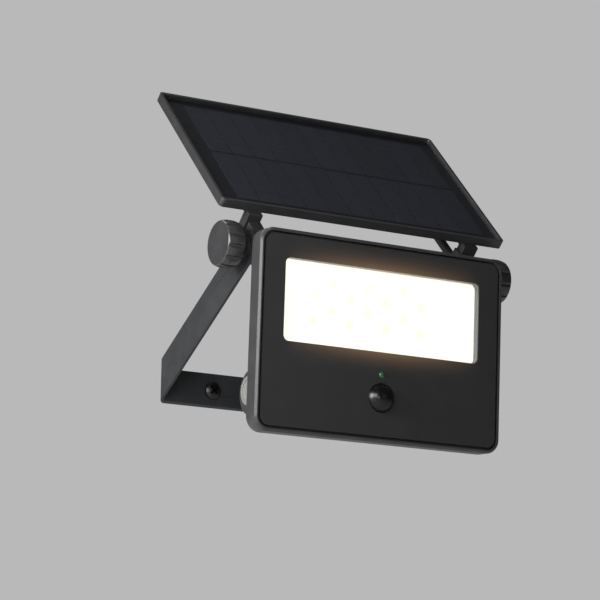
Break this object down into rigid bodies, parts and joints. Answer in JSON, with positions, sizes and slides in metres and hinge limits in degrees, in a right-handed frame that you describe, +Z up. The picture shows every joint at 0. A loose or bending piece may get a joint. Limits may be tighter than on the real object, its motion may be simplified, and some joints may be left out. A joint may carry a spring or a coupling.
{
  "type": "solar flood light",
  "caption": "Wall-mounted flood light head with motion sensor, under a tilting solar panel that shares its clamped pivot on a U-shaped strap.",
  "frame": {"origin": "middle of the strap's wall face, halfway between the two wall screws", "axes": "+X along the wall to the right as seen from in front, +Y into the wall, +Z up"},
  "size_m": [0.2, 0.1602, 0.2202],
  "materials": {
    "strap_steel": "satin black powder coat",
    "black_screw_steel": "black oxide",
    "zinc_steel": "zinc plated",
    "housing_plastic": "satin anthracite",
    "fascia_plastic": "semi-gloss black",
    "seal_rubber": "matt",
    "clear_lens": "clear",
    "reflector_white": "bright white",
    "board_white": "white solder mask",
    "led_phosphor": "yellow phosphor, lit",
    "dome_plastic": "glossy infrared-clear black",
    "sensor_can": "nickel can",
    "indicator_green": "translucent green",
    "board_green": "green solder mask",
    "battery_wrap": "shrink wrap",
    "nickel": "nickel plated",
    "switch_plastic": "matt",
    "gland_nylon": "matt black nylon",
    "lead_rubber": "black round lead",
    "button_silicone": "translucent grey silicone",
    "tray_plastic": "satin black",
    "cell_backing": "black laminate",
    "cell_silicon": "dark blue, under resin",
    "panel_cover": "clear cover",
    "arm_plastic": "satin black",
    "knob_plastic": "satin black"
  },
  "bodies": {
    "wall_bracket": {"wall_strap": "strap_steel", "wall_screws": "black_screw_steel", "strap_washers": "zinc_steel"},
    "head": {"rear_housing": "housing_plastic", "front_panel": "fascia_plastic", "front_seal": "seal_rubber", "window_lens": "clear_lens", "reflector": "reflector_white", "led_board": "board_white", "led_chips": "led_phosphor", "pir_lens": "dome_plastic", "pir_sensor": "sensor_can", "indicator_led": "indicator_green", "sensor_board": "board_green", "control_board": "board_green", "battery_cell": "battery_wrap", "battery_contacts": "nickel", "mode_switch": "switch_plastic", "housing_screws": "zinc_steel", "pivot_nuts": "zinc_steel"},
    "mode_button": {"mode_button": "button_silicone"},
    "panel": {"panel_tray": "tray_plastic", "cell_board": "cell_backing", "solar_cells": "cell_silicon", "cell_ribbons": "nickel", "panel_glass": "panel_cover", "junction_box": "tray_plastic", "lead_glands": "gland_nylon", "panel_lead": "lead_rubber", "panel_arm_left": "arm_plastic", "panel_arm_right": "arm_plastic", "arm_screws": "zinc_steel"},
    "left_knob": {"left_knob": "knob_plastic", "left_bolt": "zinc_steel"},
    "right_knob": {"right_knob": "knob_plastic", "right_bolt": "zinc_steel"}
  },
  "joints": [
    {"name": "head_tilt", "type": "hinge", "parent": "wall_bracket", "child": "head", "pos_m": [0, -0.1046, 0.0682], "axis": [1, 0, 0], "range_deg": [-25, 50]},
    {"name": "panel_tilt", "type": "hinge", "parent": "wall_bracket", "child": "panel", "pos_m": [0, -0.1046, 0.0682], "axis": [1, 0, 0], "range_deg": [-12, 40]},
    {"name": "left_knob_turn", "type": "hinge", "parent": "wall_bracket", "child": "left_knob", "pos_m": [-0.09, -0.1046, 0.0682], "axis": [1, 0, 0], "range_deg": [0, 360]},
    {"name": "right_knob_turn", "type": "hinge", "parent": "wall_bracket", "child": "right_knob", "pos_m": [0.09, -0.1046, 0.0682], "axis": [1, 0, 0], "range_deg": [0, 360]},
    {"name": "mode_press", "type": "slide", "parent": "head", "child": "mode_button", "axis": [1, 0, 0], "range_m": [0, 0.0008], "stiffness_N_per_m": 500, "springref_m": -0.001}
  ]
}
